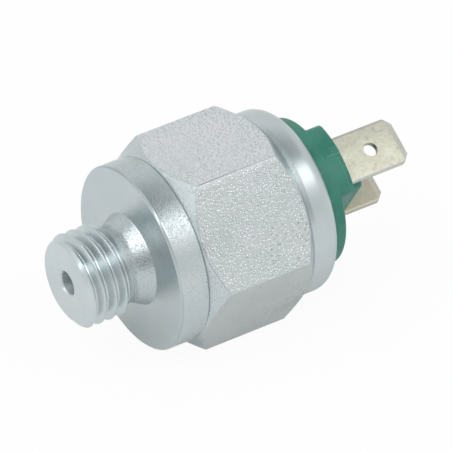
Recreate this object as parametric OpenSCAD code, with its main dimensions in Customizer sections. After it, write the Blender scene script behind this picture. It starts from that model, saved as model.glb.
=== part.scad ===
// Air pressure sensor: a two-blade diaphragm pressure switch with a screw-in hexagon body.
// It lies on one flat of the hexagon. +X runs along its axis, from the air port to the blades,
// and the origin is on the resting surface under the middle of its length.

/* [Stud and air port] */
// Diameter over the crests of the stud's thread
thread_d = 11.9; // [11:0.1:13.5]
// Length of the threaded stretch, from the tip
thread_len = 5.9; // [4.5:0.1:6.6]
// Chamfer that leads the thread in
tip_chamfer = 0.77; // [0.4:0.01:1.1]
// Chamfer at the inner end of the thread
thread_end_chamfer = 0.5; // [0.2:0.05:0.9]
// Diameter of the undercut neck behind the thread
neck_d = 9.9; // [8.6:0.1:10.6]
// Radius of the fillet between neck and collar
neck_fillet = 1.25; // [0.5:0.05:2]
// Length of the stud, from its tip to the collar's face
stud_len = 9.1; // [8.8:0.1:12]
// Bore of the air port
port_d = 3; // [1.6:0.1:4]
// Countersink at the mouth of the port, on radius
port_chamfer = 0.25; // [0.1:0.05:0.6]
// Diameter to which the port opens under the diaphragm
port_flare_d = 6; // [5:0.1:9]

/* [Collar and hexagon] */
// Step from a flat of the hexagon down to the round collar
collar_step = 0.1; // [0:0.05:1]
// Length of the collar's cylinder
collar_len = 4; // [3.3:0.1:6]
// Chamfer round the edge of the collar's face
collar_chamfer = 0.3; // [0.1:0.05:0.8]
// Width of the hexagon across its flats
hex_af = 24; // [24:0.1:27]
// Length of the hexagon along its corners
hex_len = 11.3; // [10.6:0.1:16]
// Angle of the front cone that trims the hexagon's corners, from the axis
front_cone_angle = 48; // [40:1:58]
// Angle of the rear cone that trims the hexagon's corners, from the axis
rear_cone_angle = 45; // [38:1:55]

/* [Rolled rim] */
// Step from a flat of the hexagon down to the rim
rim_step = 0.15; // [0:0.05:0.5]
// Wall of the rim round the cavity
rim_wall = 1.45; // [1.1:0.05:2]
// Straight length of the rim before it rolls in
rim_len = 1.8; // [1.2:0.1:3]
// Outer radius of the roll
roll_r = 1.9; // [1.6:0.05:2.2]
// Thickness of the lip that holds the cap
lip_t = 1.45; // [1:0.05:1.8]
// How far the lip reaches in over the cap's shoulder
lip_reach = 0.8; // [0.6:0.05:1.2]
// Rounding of the lip's inner edge
lip_edge_r = 0.3; // [0.1:0.05:0.5]
// Width of the groove between hexagon and rim
groove_w = 0.3; // [0.2:0.05:0.6]
// Depth of that groove
groove_depth = 0.15; // [0.05:0.05:0.3]

/* [Cap] */
// Height of the cap's round step over the rim
cap_rise = 2.1; // [1.2:0.1:4]
// Rounding of the cap's round step
cap_edge_r = 0.3; // [0.1:0.05:0.8]
// Length of the cap from its shoulder down to the ceiling over the contacts
cap_depth = 7.1; // [6.2:0.1:8]
// Length of the skirt below that ceiling
skirt_len = 1.6; // [0.6:0.1:2.6]
// Wall of the skirt, and of the spacer ring below it
skirt_t = 1.75; // [1:0.05:2]
// Rounding of the cap's shoulder under the lip
shoulder_r = 0.45; // [0.2:0.05:0.8]
// Width of the bar that crosses the cap
bar_w = 9.5; // [8:0.1:11]
// Height of the bar over the round step
bar_h = 2; // [1:0.1:3]
// Bevel on the ends of the bar, below the mould's parting line
bar_bevel = 0.7; // [0.3:0.05:1]
// Width of the block between the blades
block_w = 7; // [6.4:0.1:9]
// Height of the block over the bar
block_h = 2.8; // [1.5:0.1:5]
// Corner radius of the block
block_corner_r = 0.8; // [0.3:0.1:1.5]
// Turn of the cap about the axis, from a flat of the hexagon
cap_turn = 35.4; // [0:0.1:60]

/* [Blades] */
// Width of a blade
blade_w = 6.3; // [4.8:0.1:7]
// Thickness of a blade
blade_t = 0.8; // [0.5:0.1:0.9]
// Length of a blade past the block
blade_out = 7.1; // [6:0.1:9]
// Chamfer of a blade's two corners at its tip
blade_corner = 1; // [0.5:0.1:1.5]
// Length of the bevel that leads into the receptacle
blade_lead = 1.1; // [0.5:0.1:1.6]
// Thickness left at the tip of a blade
blade_tip_t = 0.36; // [0.2:0.02:0.4]
// Bevel along a blade's long edges, across its width
blade_edge_w = 0.5; // [0.2:0.05:0.8]
// Bevel along a blade's long edges, across its thickness
blade_edge_t = 0.16; // [0.05:0.01:0.2]
// Hole that catches the receptacle's dimple
blade_hole_d = 1.8; // [1.4:0.1:2]
// Distance from a blade's tip to its hole
blade_hole_back = 4.3; // [3:0.1:5]
// Width of a blade's foot inside the cap
foot_w = 5; // [4:0.1:6]
// Outer radius of the bend at the foot
bend_r = 0.8; // [0.5:0.1:1]

/* [Diaphragm and rings] */
// Thickness of the diaphragm's web
diaphragm_t = 0.5; // [0.3:0.05:0.7]
// Width of the bead that seals the edge
bead_w = 0.9; // [0.6:0.1:1.1]
// Height of the bead over the web
bead_h = 0.6; // [0.4:0.1:0.8]
// Width of the diaphragm's edge that the ring clamps
clamp_w = 2.65; // [2:0.05:3.4]
// Height of the piston
piston_h = 2.5; // [2.1:0.1:3]
// Thickness of the support disc between diaphragm and piston
support_t = 0.3; // [0.2:0.05:0.4]
// Diameter of the pilot that centres the plunger on the piston
pilot_d = 3.2; // [2.6:0.1:3.6]
// Height of that pilot
pilot_h = 1; // [0.6:0.1:1.2]
// Height of the ring that clamps the diaphragm
ring_h = 2.6; // [2:0.1:3.4]
// Depth of the relief in that ring, over the convolution
relief_h = 0.95; // [0.7:0.05:1.4]
// Room for the convolution between the piston and the relief's wall
relief_w = 1.7; // [1.4:0.05:2.2]
// Height of the spacer ring between that ring and the cap
spacer_h = 4.4; // [3.6:0.1:6]

/* [Contacts] */
// Gap that the moving disc closes
contact_gap = 0.8; // [0.4:0.05:1]
// Diameter of a fixed contact
contact_d = 2.4; // [1.8:0.1:2.8]
// Height of a fixed contact
contact_h = 0.6; // [0.4:0.1:0.9]
// Diameter of the rivet shank behind a fixed contact
contact_shank_d = 1.2; // [0.8:0.1:1.4]
// Distance from a blade's inner face to the middle of its contact
contact_in = 1.8; // [1.5:0.1:2.2]
// Metal of the foot beyond its contact
foot_edge = 0.2; // [0.1:0.05:0.5]
// Thickness of the moving contact disc
disc_t = 0.5; // [0.3:0.1:0.7]
// Height of the wave washer under the disc
wave_h = 0.4; // [0.3:0.05:0.6]
// Thickness of the wave washer's strip
wave_t = 0.15; // [0.1:0.05:0.2]
// Thickness of the ring that holds the disc down
retainer_t = 0.4; // [0.3:0.1:0.6]
// Width of the plunger's flange round its hub
flange_w = 1.8; // [1.2:0.1:2]
// Wall of the plunger's hub round the spring
hub_wall = 0.5; // [0.4:0.05:0.8]
// Length of the hub inside the cap's bore
hub_in_cap = 3; // [2:0.1:3.6]

/* [Spring and screw] */
// Wire of the switching spring
wire_d = 0.5; // [0.4:0.02:0.6]
// Outside diameter of the switching spring
spring_d = 4.2; // [3.6:0.1:4.4]
// Number of its turns
spring_turns = 8; // [6:0.5:10]
// Room between the spring and the plunger's cup, on radius
cup_gap = 0.2; // [0.1:0.05:0.4]
// Floor of that cup over the piston's pilot
cup_floor = 0.7; // [0.5:0.1:1]
// Thickness of the spring's upper seat
spring_seat_t = 0.8; // [0.6:0.1:1.2]
// Length of the pilot on that seat
spring_pilot_h = 1; // [0.6:0.1:1.6]
// Diameter of the adjusting screw
screw_d = 4.9; // [4:0.1:5]
// Length of the adjusting screw
screw_len = 5; // [4:0.1:5.6]
// Depth of the screw's head below the top of the block
screw_recess = 4.2; // [3:0.1:5]
// Width of the screw's slot
slot_w = 0.8; // [0.6:0.1:1]
// Depth of the screw's slot
slot_depth = 1.2; // [0.8:0.1:1.6]
// Thickness of the lacquer over the screw
seal_t = 1.2; // [0.8:0.1:2]
// Section of the O-ring round the cap
oring_section_d = 1.28; // [1:0.02:1.4]
// Distance from the shoulder's top to the middle of the O-ring
oring_down = 3.8; // [2.6:0.1:5]

/* [Fits] */
// Room round the rings and the cap in the cavity, on radius
cavity_gap = 0.1; // [0.05:0.01:0.15]
// Room round the cap in the lip, on radius
lip_gap = 0.05; // [0.02:0.01:0.1]
// Room round a blade in its slot
slot_gap = 0.05; // [0.02:0.01:0.1]
// Running room of the piston and the plunger, on radius
run_gap = 0.06; // [0.03:0.01:0.08]
// Room between pieces that are set or pushed together
set_gap = 0.02; // [0.01:0.01:0.04]

/* [Hidden] */
$fn = 96;
over = 1;

zinc = [0.78, 0.81, 0.83];
green = [0.25, 0.51, 0.44];
tinned = [0.84, 0.83, 0.77];
silver = [0.88, 0.88, 0.86];
brass = [0.8, 0.68, 0.38];
steel = [0.62, 0.64, 0.66];
white = [0.92, 0.91, 0.87];
black = [0.13, 0.13, 0.13];

// Radii of the housing
thread_r = thread_d / 2;
neck_r = neck_d / 2;
collar_r = hex_af / 2 - collar_step;
corner_r = hex_af / 2 / cos(30);
rim_r = hex_af / 2 - rim_step;
cavity_r = rim_r - rim_wall;
lip_r = cavity_r - lip_reach;
port_r = port_d / 2;
port_flare_r = port_flare_d / 2;

// Places along the axis, measured from the tip of the stud
collar_s = stud_len;
cone_s = collar_s + collar_len;
hex_front_s = cone_s + (corner_r - collar_r) / tan(front_cone_angle);
hex_rear_s = hex_front_s + hex_len;
groove_s = hex_rear_s + (corner_r - rim_r) / tan(rear_cone_angle);
rim_s = groove_s + groove_w;
roll_s = rim_s + rim_len;
rim_top_s = roll_s + roll_r;
lip_s = rim_top_s - lip_t;
cap_top_s = rim_top_s + cap_rise;
bar_top_s = cap_top_s + bar_h;
block_top_s = bar_top_s + block_h;
tip_s = block_top_s + blade_out;
shoulder_s = lip_s - lip_gap;

// The stack below the cap, down to the diaphragm's seat
ceiling_s = shoulder_s - cap_depth;
skirt_s = ceiling_s - skirt_len;
ring_top_s = skirt_s - spacer_h;
web_top_s = ring_top_s - ring_h;
seat_s = web_top_s - diaphragm_t;
piston_s = web_top_s + support_t;
piston_top_s = piston_s + piston_h;
foot_s = ceiling_s - blade_t;
contact_face_s = foot_s - contact_h;
disc_top_s = contact_face_s - contact_gap;
disc_s = disc_top_s - disc_t;
flange_top_s = disc_s - wave_h;
hub_top_s = ceiling_s + hub_in_cap;

// The spring and the screw that loads it
cup_s = piston_top_s + pilot_h + cup_floor;
screw_top_s = block_top_s - screw_recess;
screw_s = screw_top_s - screw_len;
spring_seat_s = screw_s - spring_seat_t;
spring_len = spring_seat_s - cup_s;

// Radii of what fits in the cavity and in the cap
cap_r = lip_r - lip_gap;
fitted_r = cavity_r - cavity_gap;
chamber_r = fitted_r - skirt_t;
cup_r = spring_d / 2 + cup_gap;
hub_r = cup_r + hub_wall;
flange_r = hub_r + flange_w;
spring_bore_r = hub_r + run_gap;
relief_r = fitted_r - clamp_w;
piston_r = relief_r - relief_w;
guide_r = piston_r + run_gap;
convolution_r = piston_r + relief_w / 2;
convolution_section_r = relief_w / 2 - run_gap;
contact_r = contact_d / 2;
disc_r = chamber_r - cavity_gap - foot_edge;
contact_x = disc_r - contact_r;
blade_inner_x = contact_x - contact_in;
blade_x = blade_inner_x + blade_t / 2;
block_l = 2 * (blade_inner_x - slot_gap);
screw_r = screw_d / 2;
oring_r = oring_section_d / 2;
oring_s = shoulder_s - oring_down;
oring_groove_r = cavity_r - oring_section_d - set_gap;

// Lays a piece that was made upright, stud down, onto the flat of the hexagon
module lie() {
    translate([-tip_s / 2, 0, hex_af / 2]) rotate([0, 90, 0]) children();
}

// The same, turned with the cap and its blades
module lie_with_cap() {
    lie() rotate([0, 0, cap_turn]) children();
}

// What a rounding tool of radius r takes off a corner that points to the origin
module corner_waste(r) {
    difference() {
        square(r);
        translate([r, r]) circle(r);
    }
}

module ring(outer_r, inner_r, h) {
    difference() {
        cylinder(r = outer_r, h = h);
        translate([0, 0, -over]) cylinder(r = inner_r, h = h + 2 * over);
    }
}

// Half section of stud, undercut neck and collar
module stud_profile() {
    polygon([
        [0, 0],
        [thread_r - tip_chamfer, 0],
        [thread_r, tip_chamfer],
        [thread_r, thread_len - thread_end_chamfer],
        [thread_r - thread_end_chamfer, thread_len],
        [neck_r, thread_len],
        [neck_r, collar_s],
        [collar_r - collar_chamfer, collar_s],
        [collar_r, collar_s + collar_chamfer],
        [collar_r, cone_s],
        [0, cone_s]
    ]);
    translate([neck_r, collar_s]) mirror([0, 1]) corner_waste(neck_fillet);
}

// Half section of the cones that trim the hexagon's corners
module hexagon_trim_profile() {
    front_slope = tan(front_cone_angle);
    rear_slope = tan(rear_cone_angle);
    polygon([
        [0, cone_s],
        [collar_r, cone_s],
        [corner_r + over * front_slope, hex_front_s + over],
        [corner_r + over * rear_slope, hex_rear_s - over],
        [rim_r, groove_s],
        [0, groove_s]
    ]);
}

// Half section of the groove and of the rim rolled over the cap
module rim_profile() {
    translate([0, groove_s - over]) square([rim_r - groove_depth, groove_w + over]);
    difference() {
        union() {
            translate([0, rim_s]) square([rim_r, rim_len]);
            translate([0, roll_s]) square([rim_r - roll_r, roll_r]);
            translate([rim_r - roll_r, roll_s]) intersection() {
                circle(roll_r);
                square(roll_r);
            }
        }
        translate([lip_r, rim_top_s]) mirror([0, 1]) corner_waste(lip_edge_r);
    }
}

// Half section of the port, the cavity and the hole in the lip
module cavity_profile() {
    flare_s = seat_s - (port_flare_r - port_r);
    polygon([
        [0, -over],
        [port_r + port_chamfer + over, -over],
        [port_r, port_chamfer],
        [port_r, flare_s],
        [port_flare_r, seat_s],
        [0, seat_s]
    ]);
    difference() {
        translate([0, seat_s]) square([cavity_r, lip_s - seat_s]);
        translate([cavity_r, lip_s]) rotate(180) corner_waste(shoulder_r);
    }
    translate([0, seat_s]) square([lip_r, rim_top_s - seat_s + over]);
}

module housing() {
    color(zinc) lie() difference() {
        union() {
            rotate_extrude() stud_profile();
            intersection() {
                translate([0, 0, cone_s]) rotate(30)
                    cylinder(r = corner_r, h = groove_s - cone_s, $fn = 6);
                rotate_extrude() hexagon_trim_profile();
            }
            rotate_extrude() rim_profile();
        }
        rotate_extrude() cavity_profile();
    }
}

// Half section of the cap: skirt, body with its O-ring groove, shoulder and round step
module cap_profile() {
    translate([chamber_r, skirt_s]) square([skirt_t, skirt_len + over]);
    difference() {
        translate([0, ceiling_s]) square([fitted_r, cap_depth]);
        translate([fitted_r, shoulder_s]) rotate(180) corner_waste(shoulder_r);
        translate([oring_groove_r, oring_s - oring_r - set_gap])
            square([fitted_r, oring_section_d + 2 * set_gap]);
    }
    difference() {
        translate([0, shoulder_s - over]) square([cap_r, cap_top_s - shoulder_s + over]);
        translate([cap_r, cap_top_s]) rotate(180) corner_waste(cap_edge_r);
    }
}

// Outline of the block, with round corners
module block_outline() {
    square([block_l - 2 * block_corner_r, block_w], center = true);
    square([block_l, block_w - 2 * block_corner_r], center = true);
    for (x = [-1, 1], y = [-1, 1])
        translate([x * (block_l / 2 - block_corner_r), y * (block_w / 2 - block_corner_r)])
            circle(block_corner_r);
}

// The bar across the cap, flush with the round step at its ends
module cap_bar() {
    base_s = cap_top_s - cap_edge_r - over;
    difference() {
        intersection() {
            translate([-cap_r, -bar_w / 2, base_s]) cube([2 * cap_r, bar_w, bar_top_s - base_s]);
            translate([0, 0, base_s]) cylinder(r = cap_r, h = bar_top_s - base_s);
        }
        intersection() {
            rotate_extrude() polygon([
                [cap_r - bar_bevel - over, bar_top_s + over],
                [cap_r + over, bar_top_s - bar_bevel - over],
                [cap_r + over, bar_top_s + over]
            ]);
            translate([-hex_af, -hex_af, base_s]) cube([2 * hex_af, hex_af, bar_top_s]);
        }
    }
}

module insulator_cap() {
    slot_t = blade_t + 2 * slot_gap;
    slot_l = blade_w + 2 * slot_gap;
    color(green) lie_with_cap() difference() {
        union() {
            rotate_extrude() cap_profile();
            cap_bar();
            translate([0, 0, bar_top_s - over]) linear_extrude(block_h + over) block_outline();
        }
        for (side = [-1, 1])
            translate([side * blade_x - slot_t / 2, -slot_l / 2, ceiling_s - over])
                cube([slot_t, slot_l, block_top_s - ceiling_s + 2 * over]);
        translate([0, 0, ceiling_s - over])
            cylinder(r = spring_bore_r, h = screw_s - ceiling_s + over);
        translate([0, 0, ceiling_s]) cylinder(r = screw_r + set_gap, h = tip_s - ceiling_s);
    }
}

// A stamped blade: outline, section and lead-in bevels are three passes of the tool
module blade_strip() {
    half_w = blade_w / 2;
    half_t = blade_t / 2;
    half_tip = blade_tip_t / 2;
    intersection() {
        rotate([90, 0, 90]) linear_extrude(blade_t, center = true) polygon([
            [-half_w, ceiling_s],
            [half_w, ceiling_s],
            [half_w, tip_s - blade_corner],
            [half_w - blade_corner, tip_s],
            [-half_w + blade_corner, tip_s],
            [-half_w, tip_s - blade_corner]
        ]);
        translate([0, 0, ceiling_s]) linear_extrude(tip_s - ceiling_s) polygon([
            [-half_t, -half_w + blade_edge_w],
            [-half_t + blade_edge_t, -half_w],
            [half_t - blade_edge_t, -half_w],
            [half_t, -half_w + blade_edge_w],
            [half_t, half_w - blade_edge_w],
            [half_t - blade_edge_t, half_w],
            [-half_t + blade_edge_t, half_w],
            [-half_t, half_w - blade_edge_w]
        ]);
        rotate([90, 0, 0]) linear_extrude(blade_w + over, center = true) polygon([
            [-half_t, ceiling_s],
            [half_t, ceiling_s],
            [half_t, tip_s - blade_lead],
            [half_tip, tip_s],
            [-half_tip, tip_s],
            [-half_t, tip_s - blade_lead]
        ]);
    }
}

// The blade on the cap's +X side, with the foot that carries its contact
module blade_terminal() {
    difference() {
        union() {
            translate([blade_x, 0, 0]) blade_strip();
            intersection() {
                translate([blade_inner_x, 0, foot_s]) rotate([90, 0, 0])
                    linear_extrude(foot_w, center = true) difference() {
                        square([contact_in + contact_r + foot_edge, blade_t]);
                        corner_waste(bend_r);
                    }
                cylinder(r = chamber_r - cavity_gap, h = tip_s);
            }
        }
        translate([blade_x, 0, tip_s - blade_hole_back]) rotate([0, 90, 0])
            cylinder(d = blade_hole_d, h = blade_t + over, center = true);
        translate([contact_x, 0, foot_s - over])
            cylinder(d = contact_shank_d + 2 * set_gap, h = blade_t + 2 * over);
    }
}

module blade_terminal_far() {
    color(tinned) lie_with_cap() blade_terminal();
}

module blade_terminal_near() {
    color(tinned) lie_with_cap() rotate(180) blade_terminal();
}

module fixed_contact() {
    translate([contact_x, 0, contact_face_s]) {
        cylinder(d = contact_d, h = contact_h);
        cylinder(d = contact_shank_d, h = contact_h + blade_t);
    }
}

module fixed_contact_far() {
    color(silver) lie_with_cap() fixed_contact();
}

module fixed_contact_near() {
    color(silver) lie_with_cap() rotate(180) fixed_contact();
}

// Half section: flat web, a half-round convolution that lets it travel, and a sealing bead
module diaphragm_profile() {
    bead_r = fitted_r - set_gap - bead_w / 2;
    difference() {
        union() {
            square([fitted_r, diaphragm_t]);
            translate([convolution_r, 0]) circle(convolution_section_r);
            translate([bead_r, diaphragm_t + bead_h - bead_w / 2]) circle(bead_w / 2);
            translate([bead_r - bead_w / 2, 0])
                square([bead_w, diaphragm_t + bead_h - bead_w / 2]);
        }
        translate([convolution_r, 0]) circle(convolution_section_r - diaphragm_t);
        translate([0, -over]) square([fitted_r, over]);
    }
}

module diaphragm() {
    color(black) lie() translate([0, 0, seat_s]) rotate_extrude() diaphragm_profile();
}

module support_disc() {
    color(steel) lie() translate([0, 0, web_top_s])
        cylinder(r = piston_r - run_gap, h = support_t);
}

module diaphragm_ring() {
    bead_room_h = bead_h + set_gap;
    bead_room_r = fitted_r - bead_w - 2 * set_gap;
    color(steel) lie() translate([0, 0, web_top_s]) difference() {
        ring(fitted_r, guide_r, ring_h);
        translate([0, 0, -over]) cylinder(r = relief_r, h = relief_h + over);
        translate([0, 0, -over]) ring(cavity_r, bead_room_r, bead_room_h + over);
    }
}

module spacer_ring() {
    color(zinc) lie() translate([0, 0, ring_top_s]) ring(fitted_r, chamber_r, skirt_s - ring_top_s);
}

module piston() {
    color(brass) lie() translate([0, 0, piston_s]) {
        cylinder(r = piston_r, h = piston_h);
        cylinder(d = pilot_d, h = piston_h + pilot_h);
    }
}

module plunger() {
    color(white) lie() difference() {
        union() {
            translate([0, 0, piston_top_s])
                cylinder(r = flange_r, h = flange_top_s - piston_top_s);
            translate([0, 0, piston_top_s]) cylinder(r = hub_r, h = hub_top_s - piston_top_s);
        }
        translate([0, 0, piston_top_s - over])
            cylinder(d = pilot_d + 2 * set_gap, h = pilot_h + over);
        translate([0, 0, cup_s]) cylinder(r = cup_r, h = hub_top_s - cup_s + over);
    }
}

// A flat strip bent into three waves round the hub
module wave_washer(outer_r, inner_r, h, t) {
    steps = 48;
    function wave(i) = (h - t) / 2 * (1 - cos(3 * 360 * i / steps));
    function corner(i, r, z) = [r * cos(360 * i / steps), r * sin(360 * i / steps), wave(i) + z];
    points = [
        for (i = [0:steps - 1]) each
            [corner(i, inner_r, 0), corner(i, outer_r, 0), corner(i, outer_r, t), corner(i, inner_r, t)]
    ];
    faces = [
        for (i = [0:steps - 1], k = [0:3]) let (
            a = 4 * i + k,
            b = 4 * i + (k + 1) % 4,
            c = 4 * ((i + 1) % steps) + (k + 1) % 4,
            d = 4 * ((i + 1) % steps) + k
        ) each [[a, b, c], [a, c, d]]
    ];
    polyhedron(points, faces);
}

module contact_spring() {
    color(steel) lie() translate([0, 0, flange_top_s])
        wave_washer(flange_r, hub_r + run_gap, wave_h, wave_t);
}

module contact_disc() {
    color(silver) lie() translate([0, 0, disc_s]) ring(disc_r, hub_r + run_gap, disc_t);
}

module disc_retainer() {
    color(steel) lie() translate([0, 0, disc_top_s])
        ring(flange_r - run_gap, hub_r + set_gap, retainer_t);
}

// A coil spring with closed end turns, swept as rings of eight points
module coil(outer_d, wire, turns, h) {
    sides = 8;
    per_turn = 20;
    steps = turns * per_turn;
    closed = 1;
    pitch = (h - wire * (1 + 2 * closed)) / (turns - 2 * closed);
    mid_r = (outer_d - wire) / 2;
    function rise(n) = wire / 2 + (n < closed ? n * wire
        : n > turns - closed ? h - wire - (turns - n) * wire
        : closed * wire + (n - closed) * pitch);
    function at(i, k) = let (
        turn = 360 * i / per_turn,
        side = 360 * k / sides,
        r = mid_r + wire / 2 * cos(side)
    ) [r * cos(turn), r * sin(turn), rise(i / per_turn) + wire / 2 * sin(side)];
    points = [for (i = [0:steps], k = [0:sides - 1]) at(i, k)];
    walls = [
        for (i = [0:steps - 1], k = [0:sides - 1]) let (
            a = i * sides + k,
            b = i * sides + (k + 1) % sides
        ) each [[a, b, b + sides], [a, b + sides, a + sides]]
    ];
    start = [for (k = [sides - 1:-1:0]) k];
    finish = [for (k = [0:sides - 1]) steps * sides + k];
    polyhedron(points, concat([start], walls, [finish]));
}

module switching_spring() {
    color(steel) lie() translate([0, 0, cup_s + set_gap])
        coil(spring_d, wire_d, spring_turns, spring_len - 2 * set_gap);
}

module spring_seat() {
    pilot_r = spring_d / 2 - wire_d - run_gap;
    color(brass) lie() {
        translate([0, 0, spring_seat_s]) cylinder(r = hub_r - run_gap, h = spring_seat_t);
        translate([0, 0, spring_seat_s - spring_pilot_h])
            cylinder(r = pilot_r, h = spring_pilot_h + spring_seat_t);
    }
}

module adjusting_screw() {
    color(brass) lie_with_cap() difference() {
        translate([0, 0, screw_s]) cylinder(r = screw_r, h = screw_len);
        translate([-screw_d / 2 - over, -slot_w / 2, screw_top_s - slot_depth])
            cube([screw_d + 2 * over, slot_w, slot_depth + over]);
    }
}

module screw_seal() {
    color("firebrick") lie() translate([0, 0, screw_top_s]) cylinder(r = screw_r, h = seal_t);
}

module cap_seal() {
    color(black) lie() translate([0, 0, oring_s]) rotate_extrude()
        translate([oring_groove_r + set_gap / 2 + oring_r, 0]) circle(oring_r);
}

housing();
insulator_cap();
blade_terminal_near();
blade_terminal_far();
diaphragm();
support_disc();
diaphragm_ring();
spacer_ring();
piston();
plunger();
contact_spring();
contact_disc();
disc_retainer();
fixed_contact_near();
fixed_contact_far();
switching_spring();
spring_seat();
adjusting_screw();
screw_seal();
cap_seal();
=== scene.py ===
import math

import bpy
import bmesh
from mathutils import Matrix, Vector


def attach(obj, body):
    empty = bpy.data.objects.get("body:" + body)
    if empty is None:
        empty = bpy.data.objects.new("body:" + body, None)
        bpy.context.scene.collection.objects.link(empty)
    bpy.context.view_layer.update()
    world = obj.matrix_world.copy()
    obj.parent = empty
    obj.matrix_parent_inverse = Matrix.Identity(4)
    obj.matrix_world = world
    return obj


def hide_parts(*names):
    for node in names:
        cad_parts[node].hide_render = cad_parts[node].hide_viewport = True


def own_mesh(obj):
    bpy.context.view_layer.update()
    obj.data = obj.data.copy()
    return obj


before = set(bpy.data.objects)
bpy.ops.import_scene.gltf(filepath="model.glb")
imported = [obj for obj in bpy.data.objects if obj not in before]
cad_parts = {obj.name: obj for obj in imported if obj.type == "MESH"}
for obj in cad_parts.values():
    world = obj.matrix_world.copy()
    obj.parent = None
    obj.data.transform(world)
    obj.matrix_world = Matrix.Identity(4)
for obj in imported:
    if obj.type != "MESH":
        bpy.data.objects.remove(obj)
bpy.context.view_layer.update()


# Stage
# A white table without an edge in a white studio, soft lamps, and the camera that took the
# photograph. The studio is dim overhead and behind the camera, which turned metal mirrors.
MM = 0.001
CAMERA_AIM = Vector((-4.477, -7.107, 16.852)) * MM
CAMERA_DISTANCE = 900 * MM
CAMERA_AZIMUTH = math.radians(-120.315)
CAMERA_ELEVATION = math.radians(33.875)
CAMERA_ROLL = math.radians(-3.39)
CAMERA_LENS = 592.2
FLOOR_SIZE = 4.0
WALL_WHITE = (1, 1, 1, 1)
DIM_TOWARDS = (-0.44, -0.85, 0.29)


def camera_turn(azimuth, elevation, roll):
    """The turn of a camera that looks at its aim from that side."""
    look = Matrix.Rotation(azimuth + math.pi / 2, 4, "Z") @ Matrix.Rotation(math.pi / 2 - elevation, 4, "X")
    return look @ Matrix.Rotation(roll, 4, "Z")


def place(tree, kind, feeds=(), **settings):
    """Places a shader node, sets its properties, and sets or links each socket that feeds names."""
    shader_node = tree.nodes.new(kind)
    for name, value in settings.items():
        setattr(shader_node, name, value)
    for socket, value in dict(feeds).items():
        if isinstance(value, bpy.types.NodeSocket):
            tree.links.new(value, shader_node.inputs[socket])
        else:
            shader_node.inputs[socket].default_value = value
    return shader_node


def ramp(tree, fac, stops, interpolation="LINEAR"):
    """A colour ramp with (position, grey or colour) stops."""
    ramp_node = place(tree, "ShaderNodeValToRGB", {"Fac": fac})
    elements = ramp_node.color_ramp.elements
    ramp_node.color_ramp.interpolation = interpolation
    while len(elements) < len(stops):
        elements.new(0.5)
    for element, (position, colour) in zip(elements, stops):
        element.position = position
        element.color = colour if len(colour) == 4 else (*colour, 1)
    return ramp_node.outputs["Color"]


def blend_colours(tree, share, a, b, kind="MIX"):
    """The colour between a and b, by the share of b."""
    mix = place(tree, "ShaderNodeMix", data_type="RGBA", blend_type=kind)
    for socket, value in ((0, share), (6, a), (7, b)):
        if isinstance(value, bpy.types.NodeSocket):
            tree.links.new(value, mix.inputs[socket])
        else:
            mix.inputs[socket].default_value = value
    return mix.outputs[2]


def background_rays(tree):
    """1 for a ray that comes from the camera or from glass, for which the studio is plain white."""
    path = place(tree, "ShaderNodeLightPath")
    return place(tree, "ShaderNodeMath", {0: path.outputs["Is Camera Ray"], 1: path.outputs["Is Transmission Ray"]},
                 operation="MAXIMUM").outputs[0]


bpy.ops.object.select_all(action="DESELECT")
bpy.ops.object.camera_add()
camera = bpy.context.object
camera.name = "photo_camera"
camera.data.lens = CAMERA_LENS
camera.data.clip_start = 0.05
turn_to_part = camera_turn(CAMERA_AZIMUTH, CAMERA_ELEVATION, CAMERA_ROLL)
camera.matrix_world = Matrix.Translation(CAMERA_AIM) @ turn_to_part @ Matrix.Translation((0, 0, CAMERA_DISTANCE))
bpy.context.scene.camera = camera
bpy.context.scene.view_settings.view_transform = "Standard"

studio = bpy.data.worlds.new("white_studio")
bpy.context.scene.world = studio
studio.use_nodes = True
studio.node_tree.nodes.clear()
tree = studio.node_tree
direction = place(tree, "ShaderNodeTexCoord").outputs["Generated"]
height = place(tree, "ShaderNodeSeparateXYZ", {"Vector": direction}).outputs["Z"]
wall = ramp(tree, height, [
    (0.0, (0.84, 0.86, 0.86)), (0.30, (0.74, 0.76, 0.75)), (0.56, (0.90, 0.90, 0.93)),
    (0.78, (0.72, 0.73, 0.75)), (0.88, (0.42, 0.44, 0.45)), (1.0, (0.36, 0.38, 0.39)),
])
nearness = place(tree, "ShaderNodeVectorMath", {0: direction, 1: DIM_TOWARDS}, operation="DOT_PRODUCT")
dim = ramp(tree, nearness.outputs["Value"], [(0.91, (1, 1, 1)), (0.96, (0.40, 0.42, 0.43)), (1.0, (0.30, 0.32, 0.33))])
dimmed = blend_colours(tree, 1.0, wall, dim, "MULTIPLY")
lit = place(tree, "ShaderNodeBackground", {
    "Color": blend_colours(tree, background_rays(tree), dimmed, WALL_WHITE), "Strength": 1.0})
place(tree, "ShaderNodeOutputWorld", {"Surface": lit.outputs[0]})


def lamp(name, towards, distance, width, height_, power):
    """A soft box that hangs in that direction from the part and faces it."""
    bpy.ops.object.select_all(action="DESELECT")
    bpy.ops.object.light_add(type="AREA")
    box = bpy.context.object
    box.name = name
    box.data.shape = "RECTANGLE"
    box.data.size = width
    box.data.size_y = height_
    box.data.energy = power
    box.location = Vector(towards).normalized() * distance
    box.rotation_euler = Vector(towards).to_track_quat("Z", "Y").to_euler()
    return box


lamp("key_box", (0.42, -0.50, 0.75), 0.9, 0.36, 0.36, 0.75)
lamp("left_box", (-0.49, -0.10, 0.85), 0.9, 0.95, 0.28, 2.3)
lamp("edge_box", (-0.87, -0.04, 0.49), 0.9, 0.12, 0.30, 0.20)

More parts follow.
